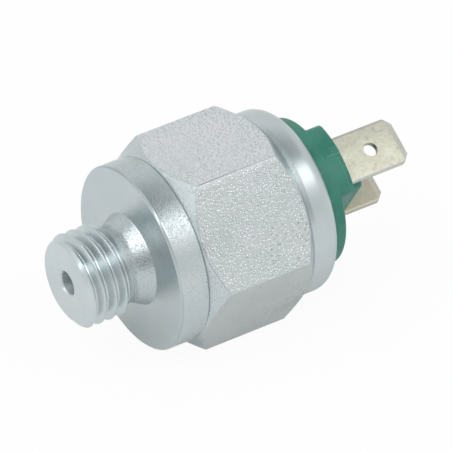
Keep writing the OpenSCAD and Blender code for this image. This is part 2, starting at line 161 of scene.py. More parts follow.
bpy.ops.object.select_all(action="DESELECT")
bpy.ops.mesh.primitive_plane_add(size=FLOOR_SIZE, location=(0, 0, -0.02 * MM))
table_top = bpy.context.object
table_top.name = "white_table"
table_paper = bpy.data.materials.new("table_paper")
table_paper.use_nodes = True
table_paper.node_tree.nodes.clear()
tree = table_paper.node_tree
paper_grain = place(tree, "ShaderNodeTexNoise", {
    "Vector": place(tree, "ShaderNodeTexCoord").outputs["Object"], "Scale": 900.0, "Detail": 3.0})
paper_bump = place(tree, "ShaderNodeBump", {"Height": paper_grain.outputs["Fac"], "Strength": 0.1, "Distance": 0.02 * MM})
matt = place(tree, "ShaderNodeBsdfDiffuse", {"Color": (0.9, 0.9, 0.9, 1), "Normal": paper_bump.outputs[0]})
glow = place(tree, "ShaderNodeEmission", {"Color": WALL_WHITE, "Strength": 1.0})
rays = place(tree, "ShaderNodeLightPath")
mirrored = place(tree, "ShaderNodeMath", {0: rays.outputs["Is Glossy Ray"], 1: 0.27}, operation="MULTIPLY")
shown = place(tree, "ShaderNodeMath", {0: background_rays(tree), 1: 0.94}, operation="MULTIPLY")
share = place(tree, "ShaderNodeMath", {0: mirrored.outputs[0], 1: shown.outputs[0]}, operation="MAXIMUM")
mixed = place(tree, "ShaderNodeMixShader", {"Fac": share.outputs[0], 1: matt.outputs[0], 2: glow.outputs[0]})
place(tree, "ShaderNodeOutputMaterial", {"Surface": mixed.outputs[0]})
table_top.data.materials.append(table_paper)


# Housing
# The steel body: one piece of 24 mm hexagon bar, turned to a stud, an undercut neck, a collar and
# two cones, cut with an M12 x 1.5 thread, drilled for the air, and its rim rolled in over the cap.
# It is zinc plated. The flats keep the grain of the drawn bar.
TIP_X = -23.084
AXIS_Z = 12.0
TURNED_SIDES = 256
HEX_AF = 24.0
THREAD_PITCH = 1.5
THREAD_CREST = 5.95
THREAD_ROOT = 5.03
THREAD_LEN = 5.9
NECK_R = 4.95
COLLAR_S = 9.1
COLLAR_R = 11.9
CONE_S = 13.1
BAR_R = 14.2
RIM_R = 11.85
CAVITY_R = 10.4
LIP_R = 9.6
RIM_TOP_S = 32.168
SEAT_S = 14.468
PORT_R = 1.5
EDGE_TURN = math.radians(25)
WELD = 0.0005 * MM


def rounded(corners, closed=False):
    """An outline of (s, r) corners in mm. A third number rounds its corner to that radius."""
    points = []
    count = len(corners)
    for i, corner in enumerate(corners):
        here = Vector(corner[:2])
        at_end = not closed and i in (0, count - 1)
        if len(corner) == 2 or at_end:
            points.append(here)
            continue
        to_before = (Vector(corners[i - 1][:2]) - here).normalized()
        to_after = (Vector(corners[(i + 1) % count][:2]) - here).normalized()
        opening = to_before.angle(to_after)
        centre = here + (to_before + to_after).normalized() * corner[2] / math.sin(opening / 2)
        start = here + to_before * corner[2] / math.tan(opening / 2) - centre
        turn = math.pi - opening
        steps = max(2, math.ceil(turn / math.radians(15)))
        end = here + to_after * corner[2] / math.tan(opening / 2) - centre
        side = 1 if start.x * end.y > start.y * end.x else -1
        for k in range(steps + 1):
            points.append(centre + Matrix.Rotation(side * turn * k / steps, 2) @ start)
    return points


def turned(name, outline, sides=TURNED_SIDES, ring=False):
    """Turns a piece: a circle extruded from step to step of its outline. A ring closes on itself."""
    bpy.ops.object.select_all(action="DESELECT")
    s, r = outline[0]
    bpy.ops.mesh.primitive_circle_add(vertices=sides, radius=r * MM, rotation=(0, math.pi / 2, 0),
                                      location=((TIP_X + s) * MM, 0, AXIS_Z * MM))
    piece = bpy.context.object
    piece.name = name
    bpy.ops.object.transform_apply(location=True, rotation=True, scale=True)
    bpy.ops.object.mode_set(mode="EDIT")
    bpy.ops.mesh.select_mode(type="EDGE")
    bpy.ops.mesh.select_all(action="SELECT")
    if not ring:
        bpy.ops.mesh.edge_face_add()
    for next_s, next_r in outline[1:]:
        bpy.ops.mesh.extrude_edges_move(TRANSFORM_OT_translate={"value": ((next_s - s) * MM, 0, 0)})
        bpy.ops.transform.resize(value=(1, next_r / r, next_r / r),
                                 center_override=((TIP_X + next_s) * MM, 0, AXIS_Z * MM))
        s, r = next_s, next_r
    if not ring:
        bpy.ops.mesh.edge_face_add()
    bpy.ops.mesh.select_all(action="SELECT")
    bpy.ops.mesh.remove_doubles(threshold=WELD)
    bpy.ops.mesh.normals_make_consistent(inside=False)
    bpy.ops.object.mode_set(mode="OBJECT")
    return piece


def pick_edges(piece, wanted):
    """Selects the edges of the piece for which wanted says so, in edge mode."""
    bpy.ops.object.mode_set(mode="EDIT")
    bpy.ops.mesh.select_mode(type="EDGE")
    bpy.ops.mesh.select_all(action="DESELECT")
    mesh = bmesh.from_edit_mesh(piece.data)
    for edge in mesh.edges:
        edge.select = wanted(edge)
    bmesh.update_edit_mesh(piece.data)


def only(piece):
    """Makes the piece the one that is selected and active."""
    bpy.ops.object.select_all(action="DESELECT")
    piece.select_set(True)
    bpy.context.view_layer.objects.active = piece


def combine(piece, tool, operation):
    """Joins, cuts or crosses the piece with the tool, and takes the tool away."""
    only(piece)
    bpy.ops.object.modifier_add(type="BOOLEAN")
    cut = piece.modifiers[-1]
    cut.operation = operation
    cut.solver = "EXACT"
    cut.object = tool
    bpy.ops.object.modifier_apply(modifier=cut.name)
    only(tool)
    bpy.ops.object.delete()
    only(piece)


def cut_plane(piece, point, normal):
    """Cuts off what lies beyond a plane, and closes the cut with a flat face."""
    only(piece)
    bpy.ops.object.mode_set(mode="EDIT")
    bpy.ops.mesh.select_all(action="SELECT")
    bpy.ops.mesh.bisect(plane_co=point, plane_no=normal, use_fill=True, clear_outer=True, threshold=WELD / 10)
    bpy.ops.object.mode_set(mode="OBJECT")


def heal(piece):
    """Merges the slivers that the cuts left, takes out doubled faces, and closes what opens."""
    only(piece)
    bpy.ops.object.mode_set(mode="EDIT")
    bpy.ops.mesh.select_mode(type="VERT")
    bpy.ops.mesh.select_all(action="SELECT")
    bpy.ops.mesh.remove_doubles(threshold=WELD)
    bpy.ops.mesh.dissolve_degenerate(threshold=WELD)
    bpy.ops.mesh.select_mode(type="FACE")
    bpy.ops.mesh.select_all(action="DESELECT")
    mesh = bmesh.from_edit_mesh(piece.data)
    twins = {}
    for face in mesh.faces:
        twins.setdefault(frozenset(face.verts), []).append(face)
    for group in twins.values():
        for face in group:
            face.select = len(group) > 1
    bmesh.update_edit_mesh(piece.data)
    bpy.ops.mesh.delete(type="FACE")
    bpy.ops.mesh.select_mode(type="VERT")
    bpy.ops.mesh.select_all(action="DESELECT")
    bpy.ops.mesh.select_non_manifold(extend=False)
    bpy.ops.mesh.fill_holes(sides=6)
    bpy.ops.mesh.select_all(action="SELECT")
    bpy.ops.mesh.normals_make_consistent(inside=False)
    bpy.ops.object.mode_set(mode="OBJECT")


def smooth(piece, limit=EDGE_TURN):
    """Shades the piece smooth, except over edges sharper than the limit."""
    only(piece)
    bpy.ops.object.shade_smooth_by_angle(angle=limit)


housing = turned("housing_body", rounded([
    (3.0, NECK_R), (7.2, NECK_R, 1.5), (COLLAR_S, NECK_R + 1.0), (COLLAR_S, COLLAR_R - 0.26, 0.03),
    (COLLAR_S + 0.26, COLLAR_R, 0.03), (CONE_S - 0.24, COLLAR_R, 0.03), (CONE_S - 0.13, COLLAR_R - 0.3),
    (CONE_S - 0.02, COLLAR_R - 0.1), (15.171, BAR_R), (25.818, BAR_R), (28.168, RIM_R - 0.25),
    (28.2, RIM_R - 0.25), (28.23, RIM_R - 0.19), (28.8, RIM_R, 0.15), (RIM_TOP_S, RIM_R, 1.9),
    (RIM_TOP_S, LIP_R, 0.3), (RIM_TOP_S - 1.45, LIP_R, 0.1), (RIM_TOP_S - 1.45, CAVITY_R, 0.45),
    (SEAT_S, CAVITY_R, 0.1), (SEAT_S, 4.0)]))
for k in range(6):
    flat = Vector((0, math.cos(math.radians(60 * k + 30)), math.sin(math.radians(60 * k + 30))))
    cut_plane(housing, Vector((0, 0, AXIS_Z * MM)) + flat * HEX_AF / 2 * MM, flat)


def on_flat(face):
    """Says whether a face is one of the hexagon's six flats."""
    reach = face.calc_center_median() - Vector((0, 0, AXIS_Z * MM))
    return face.calc_area() > 20 * MM * MM and abs(reach.dot(face.normal) - HEX_AF / 2 * MM) < 0.01 * MM


only(housing)
pick_edges(housing, lambda edge: any(on_flat(face) for face in edge.link_faces))
bpy.ops.mesh.bevel(offset=0.11 * MM, offset_type="WIDTH", segments=1, profile=0.5, clamp_overlap=True)
bpy.ops.object.mode_set(mode="OBJECT")

# The thread: the outline of one tooth, repeated along the stud, and screwed round it by one turn
tooth = rounded([(-0.75, THREAD_ROOT), (-0.606, THREAD_ROOT, 0.12), (-0.075, THREAD_CREST, 0.12),
                 (0.075, THREAD_CREST, 0.12), (0.606, THREAD_ROOT, 0.12), (0.75, THREAD_ROOT)])
bpy.ops.object.select_all(action="DESELECT")
bpy.ops.mesh.primitive_plane_add(size=0.1 * MM)
thread = bpy.context.object
thread.name = "housing_thread"
bpy.ops.object.mode_set(mode="EDIT")
bpy.ops.mesh.select_mode(type="VERT")
bpy.ops.mesh.merge(type="CENTER")
first_s, first_r = tooth[0]
bpy.ops.transform.translate(value=((first_s - 1.43) * MM, 0, first_r * MM))
for before, after in zip(tooth, tooth[1:]):
    bpy.ops.mesh.extrude_vertices_move(
        TRANSFORM_OT_translate={"value": ((after.x - before.x) * MM, 0, (after.y - before.y) * MM)})
bpy.ops.object.mode_set(mode="OBJECT")
bpy.ops.object.modifier_add(type="ARRAY")
row = thread.modifiers[-1]
row.use_relative_offset = False
row.use_constant_offset = True
row.constant_offset_displace = (THREAD_PITCH * MM, 0, 0)
row.count = 8
row.use_merge_vertices = True
row.merge_threshold = WELD
bpy.ops.object.modifier_apply(modifier=row.name)
bpy.ops.object.modifier_add(type="SCREW")
helix = thread.modifiers[-1]
helix.axis = "X"
helix.angle = math.tau
helix.screw_offset = THREAD_PITCH * MM
helix.steps = TURNED_SIDES
helix.render_steps = TURNED_SIDES
bpy.ops.object.modifier_apply(modifier=helix.name)
thread.location = (TIP_X * MM, 0, AXIS_Z * MM)
bpy.ops.object.transform_apply(location=True, rotation=True, scale=True)
bpy.ops.object.mode_set(mode="EDIT")
bpy.ops.mesh.select_all(action="SELECT")
bpy.ops.mesh.remove_doubles(threshold=WELD)
bpy.ops.mesh.normals_make_consistent(inside=False)
bpy.ops.object.mode_set(mode="OBJECT")
cut_plane(thread, Vector(((TIP_X - 0.2) * MM, 0, 0)), (-1, 0, 0))
cut_plane(thread, Vector(((TIP_X + 6.8) * MM, 0, 0)), (1, 0, 0))
stud = turned("stud_blank", rounded([
    (0, 1.0), (0, THREAD_CREST - 0.77, 0.06), (0.77, THREAD_CREST, 0.1), (THREAD_LEN - 0.5, THREAD_CREST, 0.08),
    (THREAD_LEN, THREAD_CREST - 0.5, 0.08), (THREAD_LEN + 0.12, NECK_R - 0.1), (THREAD_LEN + 0.12, 1.0)]), sides=192)
combine(thread, stud, "INTERSECT")
combine(housing, thread, "UNION")
drill = turned("port_drill", rounded([
    (-1.0, PORT_R + 1.25), (0.25, PORT_R, 0.08), (SEAT_S - 1.5, PORT_R), (SEAT_S, 3.0), (SEAT_S + 1, 3.0)]), sides=96)
combine(housing, drill, "DIFFERENCE")
heal(housing)
smooth(housing)


def axial_places(tree):
    """Place on the part in mm: along the axis, and across and up from it."""
    spot = place(tree, "ShaderNodeTexCoord").outputs["Object"]
    return place(tree, "ShaderNodeMapping", {
        "Vector": spot, "Location": (-TIP_X, 0, -AXIS_Z), "Scale": (1000, 1000, 1000)}).outputs["Vector"]


def new_group(name, takes, gives):
    """A shader node group with its named inputs and outputs."""
    group = bpy.data.node_groups.new(name, "ShaderNodeTree")
    for label, (kind, value) in takes.items():
        socket = group.interface.new_socket(label, in_out="INPUT", socket_type=kind)
        if value is not None:
            socket.default_value = value
    for label, kind in gives.items():
        group.interface.new_socket(label, in_out="OUTPUT", socket_type=kind)
    return group, place(group, "NodeGroupInput"), place(group, "NodeGroupOutput")


def use_group(tree, group, feeds):
    """Places a shader node group in a material with its own values."""
    shader_node = place(tree, "ShaderNodeGroup", node_tree=group)
    for socket, value in feeds.items():
        if isinstance(value, bpy.types.NodeSocket):
            tree.links.new(value, shader_node.inputs[socket])
        else:
            shader_node.inputs[socket].default_value = value
    return shader_node


def math_node(tree, operation, *values, clamp=False):
    """The output of one Math node."""
    return place(tree, "ShaderNodeMath", dict(enumerate(values)), operation=operation, use_clamp=clamp).outputs[0]


def new_material(name):
    """A material with nothing in it but its output; returns it, its tree and its Principled shader."""
    material = bpy.data.materials.new(name)
    material.use_nodes = True
    material.node_tree.nodes.clear()
    tree = material.node_tree
    shader = place(tree, "ShaderNodeBsdfPrincipled")
    place(tree, "ShaderNodeOutputMaterial", {"Surface": shader.outputs[0]})
    return material, tree, shader


# Metal grain: a skin of small dimples, each of its own depth, as pressing and etching leave it
grain_group, grain_in, grain_out = new_group("metal_grain", {
    "Place": ("NodeSocketVector", None), "Per mm": ("NodeSocketFloat", 2.5), "Fine share": ("NodeSocketFloat", 0.4),
}, {"Height": "NodeSocketFloat", "Pit shade": "NodeSocketFloat"})
cells = place(grain_group, "ShaderNodeTexVoronoi", {
    "Vector": grain_in.outputs["Place"], "Scale": grain_in.outputs["Per mm"], "Randomness": 1.0}, feature="F1")
cell_share = place(grain_group, "ShaderNodeSeparateColor", {"Color": cells.outputs["Color"]}).outputs[0]
own_depth = math_node(grain_group, "MULTIPLY_ADD", cell_share, 0.7, 0.3)
bowl = ramp(grain_group, cells.outputs["Distance"], [(0.05, (1, 1, 1)), (0.62, (0, 0, 0))], "EASE")
sunk = math_node(grain_group, "MULTIPLY", bowl, own_depth)
fine = place(grain_group, "ShaderNodeTexNoise", {
    "Vector": grain_in.outputs["Place"], "Scale": math_node(grain_group, "MULTIPLY", grain_in.outputs["Per mm"], 2.4),
    "Detail": 2.0, "Roughness": 0.5})
fine_height = math_node(grain_group, "MULTIPLY", fine.outputs["Fac"], grain_in.outputs["Fine share"])
grain_group.links.new(math_node(grain_group, "SUBTRACT", fine_height, sunk), grain_out.inputs["Height"])
# The Pits output is painted shade in the dimples: their colour darkens the deeper they sink
grain_group.links.new(ramp(grain_group, sunk, [(0.40, (0, 0, 0)), (0.80, (1, 1, 1))]), grain_out.inputs["Pit shade"])

# Plating clouds: the slow drift of colour and gloss over a plated or moulded surface
cloud_group, cloud_in, cloud_out = new_group("plating_clouds", {
    "Place": ("NodeSocketVector", None), "Per mm": ("NodeSocketFloat", 0.15),
    "Cold": ("NodeSocketColor", (0.6, 0.62, 0.63, 1)), "Warm": ("NodeSocketColor", (0.66, 0.66, 0.67, 1)),
}, {"Color": "NodeSocketColor", "Share": "NodeSocketFloat"})
drift = place(cloud_group, "ShaderNodeTexNoise", {
    "Vector": cloud_in.outputs["Place"], "Scale": cloud_in.outputs["Per mm"], "Detail": 4.0, "Roughness": 0.55,
    "Distortion": 0.4})
drift_share = ramp(cloud_group, drift.outputs["Fac"], [(0.38, (0, 0, 0)), (0.62, (1, 1, 1))])
cloud_group.links.new(blend_colours(cloud_group, drift_share, cloud_in.outputs["Cold"], cloud_in.outputs["Warm"]),
                      cloud_out.inputs["Color"])
cloud_group.links.new(drift_share, cloud_out.inputs["Share"])

# Lathe marks: fine rings round the axis, from the place along and out from it
lathe_group, lathe_in, lathe_out = new_group("lathe_marks", {
    "Place": ("NodeSocketVector", None), "Per mm": ("NodeSocketFloat", 9.0),
}, {"Height": "NodeSocketFloat", "Round": "NodeSocketVector", "Along": "NodeSocketFloat", "Out": "NodeSocketFloat"})
parts = place(lathe_group, "ShaderNodeSeparateXYZ", {"Vector": lathe_in.outputs["Place"]})
lathe_group.links.new(parts.outputs["X"], lathe_out.inputs["Along"])
across = place(lathe_group, "ShaderNodeCombineXYZ", {"Y": parts.outputs["Y"], "Z": parts.outputs["Z"]})
out = place(lathe_group, "ShaderNodeVectorMath", {0: across.outputs[0]}, operation="LENGTH")
lathe_group.links.new(out.outputs["Value"], lathe_out.inputs["Out"])
along_outline = place(lathe_group, "ShaderNodeCombineXYZ", {"X": parts.outputs["X"], "Y": out.outputs["Value"]})
rings = place(lathe_group, "ShaderNodeTexNoise", {
    "Vector": along_outline.outputs[0], "Scale": lathe_in.outputs["Per mm"], "Detail": 3.0, "Roughness": 0.6})
lathe_group.links.new(rings.outputs["Fac"], lathe_out.inputs["Height"])
round_axis = place(lathe_group, "ShaderNodeVectorMath", {0: (1, 0, 0), 1: across.outputs[0]}, operation="CROSS_PRODUCT")
lathe_group.links.new(round_axis.outputs[0], lathe_out.inputs["Round"])

zinc_turned, tree, shader = new_material("zinc_turned")
spot = axial_places(tree)
clouds = use_group(tree, cloud_group, {"Place": spot, "Per mm": 0.14, "Cold": (0.600, 0.675, 0.685, 1), "Warm": (0.665, 0.715, 0.725, 1)})
marks = use_group(tree, lathe_group, {"Place": spot, "Per mm": 6.0})
skin = use_group(tree, grain_group, {"Place": spot, "Per mm": 5.2, "Fine share": 1.0})
length_share = math_node(tree, "DIVIDE", marks.outputs["Along"], 46.0)
# The tip's face and the thread are paler; the polished collar face is painted darker, as painted shade where it mirrors
# the shadowed table; and the plating's dimples get painted shade as specks
zone_tone_and_shade = ramp(tree, length_share, [
    (0.0, (1, 1, 1)), (0.005, (0.97,) * 3), (6.1 / 46, (0.90,) * 3), (9.06 / 46, (0.78, 0.79, 0.79)),
    (9.3 / 46, (0.92,) * 3), (13.1 / 46, (0.96,) * 3), (28.0 / 46, (0.94,) * 3)], "CONSTANT")
speckled = ramp(tree, length_share, [
    (0.0, (0.2,) * 3), (6.1 / 46, (1, 1, 1)), (9.06 / 46, (0.1,) * 3), (9.4 / 46, (1, 1, 1)), (15.2 / 46, (0.15,) * 3)], "CONSTANT")
zone_toned_and_shaded = blend_colours(tree, 1.0, clouds.outputs["Color"], zone_tone_and_shade, "MULTIPLY")
# Specks: painted shade in the plating's dimples, in the zones where the grain shows
speck_shade = math_node(tree, "MULTIPLY", math_node(tree, "MULTIPLY", skin.outputs["Pit shade"], 0.6), speckled)
tree.links.new(blend_colours(tree, speck_shade, zone_toned_and_shaded, (0.26, 0.29, 0.30, 1)), shader.inputs["Base Color"])
shader.inputs["Metallic"].default_value = 1.0
shader.inputs["Anisotropic"].default_value = 0.45
shader.inputs["Anisotropic Rotation"].default_value = 0.25
tree.links.new(marks.outputs["Round"], shader.inputs["Tangent"])
bore = math_node(tree, "LESS_THAN", marks.outputs["Out"], 1.58)
gloss = ramp(tree, length_share, [
    (0.0, (0.28,) * 3), (0.12, (0.26,) * 3), (0.15, (0.18,) * 3), (0.196, (0.13,) * 3), (0.20, (0.13,) * 3),
    (0.205, (0.18,) * 3), (0.28, (0.18,) * 3), (0.30, (0.27,) * 3),
    (0.60, (0.27,) * 3), (0.62, (0.36,) * 3), (0.72, (0.38,) * 3)])
drifting = blend_colours(tree, 0.3, gloss, ramp(tree, clouds.outputs["Share"], [(0.0, (0.14,) * 3), (1.0, (0.36,) * 3)]))
tree.links.new(blend_colours(tree, bore, drifting, (0.6, 0.6, 0.6, 1)), shader.inputs["Roughness"])
ring_bump = place(tree, "ShaderNodeBump", {"Height": marks.outputs["Height"], "Strength": 0.5, "Distance": 0.005 * MM})
skin_bump = place(tree, "ShaderNodeBump", {
    "Height": math_node(tree, "MULTIPLY", skin.outputs["Height"], speckled), "Strength": 1.0, "Distance": 0.023 * MM,
    "Normal": ring_bump.outputs[0]})
tree.links.new(skin_bump.outputs[0], shader.inputs["Normal"])

zinc_bar, tree, shader = new_material("zinc_drawn_bar")
spot = axial_places(tree)
clouds = use_group(tree, cloud_group, {"Place": spot, "Per mm": 0.2, "Cold": (0.755, 0.800, 0.795, 1), "Warm": (0.805, 0.825, 0.840, 1)})
up_share = math_node(tree, "MULTIPLY_ADD", place(tree, "ShaderNodeSeparateXYZ", {"Vector": spot}).outputs["Z"], 1 / HEX_AF, 0.5)
# The upper flat's grain is finer than the others'
upper_flat = math_node(tree, "GREATER_THAN", up_share, 0.985)
skin = use_group(tree, grain_group, {
    "Place": spot, "Per mm": math_node(tree, "MULTIPLY_ADD", upper_flat, 1.2, 3.1), "Fine share": 0.25})
# The lower flats are painted darker and the top flat lighter: painted shade and painted light by height
shaded_by_height = blend_colours(tree, 1.0, clouds.outputs["Color"], ramp(tree, up_share, [
    (0.2, (0.745, 0.765, 0.755)), (0.49, (0.745, 0.765, 0.755)), (0.51, (0.845, 0.86, 0.85)), (0.97, (0.845, 0.86, 0.85)), (0.995, (1, 1, 1))]), "MULTIPLY")
worn_smooth = ramp(tree, up_share, [(0.49, (0.35,) * 3), (0.51, (1, 1, 1)), (0.97, (1, 1, 1)), (0.985, (0.8,) * 3)])
# The dimples are painted darker the deeper they sink: painted shade in the dimples
pit_shade_share = math_node(tree, "MULTIPLY", math_node(tree, "MULTIPLY", skin.outputs["Pit shade"], 0.42), worn_smooth)
pit_shaded = blend_colours(tree, pit_shade_share, shaded_by_height, (0.34, 0.36, 0.38, 1))
tree.links.new(pit_shaded, shader.inputs["Base Color"])
shader.inputs["Metallic"].default_value = 1.0
shader.inputs["Roughness"].default_value = 0.26
skin_bump = place(tree, "ShaderNodeBump", {
    "Height": math_node(tree, "MULTIPLY", skin.outputs["Height"], worn_smooth), "Strength": 1.0, "Distance": 0.088 * MM})
tree.links.new(skin_bump.outputs[0], shader.inputs["Normal"])

housing.data.materials.clear()
housing.data.materials.append(zinc_turned)
housing.data.materials.append(zinc_bar)
for face in housing.data.polygons:
    reach = face.center - Vector((0, 0, AXIS_Z * MM))
    flat_here = abs(reach.dot(face.normal) - HEX_AF / 2 * MM) < 0.01 * MM and face.area > 20 * MM * MM
    face.material_index = 1 if flat_here else 0
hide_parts("housing")
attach(housing, "sensor_body")


# Cap
# The green moulded plastic cap: a round step over the rim, a bar across it, and a block between
# the blades. It was moulded in two halves, so a fine parting line runs across the bar's ends.
CAP_TURN = math.radians(35.4)
CAP_R = 9.55
CAP_BODY_R = 10.3
CHAMBER_R = 8.55
SKIRT_S = 21.968
CEILING_S = 23.568
SHOULDER_S = 30.668
STEP_TOP_S = 34.268
BAR_TOP_S = 36.268
BLOCK_TOP_S = 39.068
BAR_W = 9.5
BLOCK_W = 7.0
BLOCK_L = 10.4
BLADE_X = 5.65
BLADE_W = 6.3
BLADE_T = 0.8
SCREW_R = 2.45
# From the upright drawing of the part, stud down, to its place: s runs along +X
LAID = Matrix.Translation((TIP_X * MM, 0, AXIS_Z * MM)) @ Matrix.Rotation(math.pi / 2, 4, "Y")
CAP_PLACE = LAID @ Matrix.Rotation(CAP_TURN, 4, "Z")


def upright_box(name, low, high):
    """A block between two corners of the upright drawing, in mm, before it is laid in place."""
    bpy.ops.object.select_all(action="DESELECT")
    low, high = Vector(low), Vector(high)
    bpy.ops.mesh.primitive_cube_add(size=1, location=(low + high) / 2 * MM, scale=(high - low) * MM)
    piece = bpy.context.object
    piece.name = name
    bpy.ops.object.transform_apply(location=True, rotation=True, scale=True)
    return piece


def upright_rod(name, x, y, low_s, high_s, radius, sides=96):
    """A round bar along the upright drawing's axis, in mm."""
    bpy.ops.object.select_all(action="DESELECT")
    bpy.ops.mesh.primitive_cylinder_add(vertices=sides, radius=radius * MM, depth=(high_s - low_s) * MM,
                                        location=(x * MM, y * MM, (low_s + high_s) / 2 * MM))
    piece = bpy.context.object
    piece.name = name
    bpy.ops.object.transform_apply(location=True, rotation=True, scale=True)
    return piece


def lay(piece, place_):
    """Lays a piece made upright into its place on the part, with its place in its mesh."""
    only(piece)
    piece.matrix_world = place_
    bpy.ops.object.transform_apply(location=True, rotation=True, scale=True)


cap = turned("cap_body", rounded([
    (CEILING_S, 6.0), (CEILING_S, CHAMBER_R, 0.15), (SKIRT_S, CHAMBER_R, 0.15), (SKIRT_S, CAP_BODY_R, 0.15),
    (26.208, CAP_BODY_R, 0.08), (26.208, 9.1, 0.1), (27.528, 9.1, 0.1), (27.528, CAP_BODY_R, 0.08),
    (SHOULDER_S, CAP_BODY_R, 0.45), (SHOULDER_S, CAP_R, 0.05), (STEP_TOP_S, CAP_R, 0.3), (STEP_TOP_S, 6.0)]))


def bar_quarter(corner):
    """A quarter of the bar's outline in mm: the round end, and the corner rounded to that radius."""
    reach, half = CAP_R - 0.01, BAR_W / 2
    centre = Vector((math.sqrt((reach - corner) ** 2 - (half - corner) ** 2), half - corner))
    lean = math.atan2(centre.y, centre.x)
    round_end = [Matrix.Rotation(lean * k / 24, 2) @ Vector((reach, 0)) for k in range(24)]
    return round_end + [centre + Matrix.Rotation(lean + (math.pi / 2 - lean) * k / 10, 2) @ Vector((corner, 0)) for k in range(11)]


upper, lower = bar_quarter(1.1), bar_quarter(1.9)
corners = (upper + [Vector((-p.x, p.y)) for p in reversed(upper)] + [Vector((-p.x, -p.y)) for p in lower[1:]]
           + [Vector((p.x, -p.y)) for p in reversed(lower[1:])])
bpy.ops.object.select_all(action="DESELECT")
bpy.ops.mesh.primitive_plane_add(size=0.1 * MM)
bar = bpy.context.object
bar.name = "cap_bar"
bpy.ops.object.mode_set(mode="EDIT")
bpy.ops.mesh.select_mode(type="VERT")
bpy.ops.mesh.merge(type="CENTER")
bpy.ops.transform.translate(value=(corners[0].x * MM, corners[0].y * MM, (STEP_TOP_S - 1.3) * MM))
for before, after in zip(corners, corners[1:]):
    bpy.ops.mesh.extrude_vertices_move(
        TRANSFORM_OT_translate={"value": ((after.x - before.x) * MM, (after.y - before.y) * MM, 0)})
bpy.ops.mesh.select_all(action="SELECT")
bpy.ops.mesh.edge_face_add()
bpy.ops.mesh.extrude_region_move(TRANSFORM_OT_translate={"value": (0, 0, (BAR_TOP_S - STEP_TOP_S + 1.3) * MM)})
bpy.ops.mesh.select_all(action="SELECT")
bpy.ops.mesh.normals_make_consistent(inside=False)
bpy.ops.object.mode_set(mode="OBJECT")
pick_edges(bar, lambda edge: all(vert.co.z > (BAR_TOP_S - 0.01) * MM for vert in edge.verts))
bpy.ops.mesh.bevel(offset=0.13 * MM, segments=3, profile=0.5)
bpy.ops.object.mode_set(mode="OBJECT")
block = upright_box("cap_block", (-BLOCK_L / 2, -BLOCK_W / 2, BAR_TOP_S - 1), (BLOCK_L / 2, BLOCK_W / 2, BLOCK_TOP_S))
pick_edges(block, lambda edge: abs((edge.verts[0].co - edge.verts[1].co).normalized().z) > 0.9)
bpy.ops.mesh.bevel(offset=0.8 * MM, segments=8, profile=0.5)
bpy.ops.object.mode_set(mode="OBJECT")
lay(bar, CAP_PLACE)
lay(block, CAP_PLACE)
# The lower halves of the bar's ends were drafted in the other half of the mould
draft = turned("bar_draft", [
    (BAR_TOP_S - 1.7, CAP_R + 0.18), (BAR_TOP_S - 0.12, CAP_R - 0.1), (BAR_TOP_S - 0.05, CAP_R - 0.14),
    (BAR_TOP_S - 0.01, CAP_R - 0.22), (BAR_TOP_S + 1, CAP_R - 0.4), (BAR_TOP_S + 1, CAP_R + 1),
    (BAR_TOP_S - 1.7, CAP_R + 1), (BAR_TOP_S - 1.7, CAP_R + 0.18)], ring=True)
cut_plane(draft, CAP_PLACE.translation, CAP_PLACE.to_3x3() @ Vector((0, 1, 0)))
combine(bar, draft, "DIFFERENCE")
for side in (-1, 1):
    seam = upright_rod("parting_line", 0, 0, STEP_TOP_S - 0.2, BAR_TOP_S - 0.1, 0.09, sides=16)
    lay(seam, CAP_PLACE @ Matrix.Translation((side * (CAP_R - 0.035) * MM, 0, 0)))
    combine(bar, seam, "UNION")
# A finer line runs along those halves, where the insert for the slots met the mould
flash = turned("flash_line", [
    (BAR_TOP_S - 0.7 + 0.07 * math.cos(math.tau * k / 8), CAP_R - 0.02 + 0.07 * math.sin(math.tau * k / 8))
    for k in (0, 1, 2, 3, 4, 5, 6, 7, 0)], ring=True)
cut_plane(flash, CAP_PLACE @ Vector((0, -0.5 * MM, 0)), CAP_PLACE.to_3x3() @ Vector((0, 1, 0)))
cut_plane(flash, CAP_PLACE @ Vector((0, -4.1 * MM, 0)), CAP_PLACE.to_3x3() @ Vector((0, -1, 0)))
combine(bar, flash, "UNION")
combine(cap, bar, "UNION")
combine(cap, block, "UNION")
for side in (-1, 1):
    slot = upright_box("blade_slot", (side * BLADE_X - 0.45, -3.2, CEILING_S - 1), (side * BLADE_X + 0.45, 3.2, BLOCK_TOP_S + 1))
    lay(slot, CAP_PLACE)
    combine(cap, slot, "DIFFERENCE")
bore = upright_rod("spring_bore", 0, 0, CEILING_S - 1, 29.868, 2.86)
lay(bore, CAP_PLACE)
combine(cap, bore, "DIFFERENCE")
bore = upright_rod("screw_bore", 0, 0, CEILING_S - 1, BLOCK_TOP_S + 1, SCREW_R + 0.02)
lay(bore, CAP_PLACE)
combine(cap, bore, "DIFFERENCE")
heal(cap)
smooth(cap)

cap_plastic, tree, shader = new_material("cap_plastic")
spot = axial_places(tree)
clouds = use_group(tree, cloud_group, {"Place": spot, "Per mm": 0.35, "Cold": (0.034, 0.196, 0.143, 1), "Warm": (0.050, 0.240, 0.173, 1)})
shader.inputs["Specular IOR Level"].default_value = 0.34
skin = use_group(tree, grain_group, {"Place": spot, "Per mm": 6.0, "Fine share": 0.5})
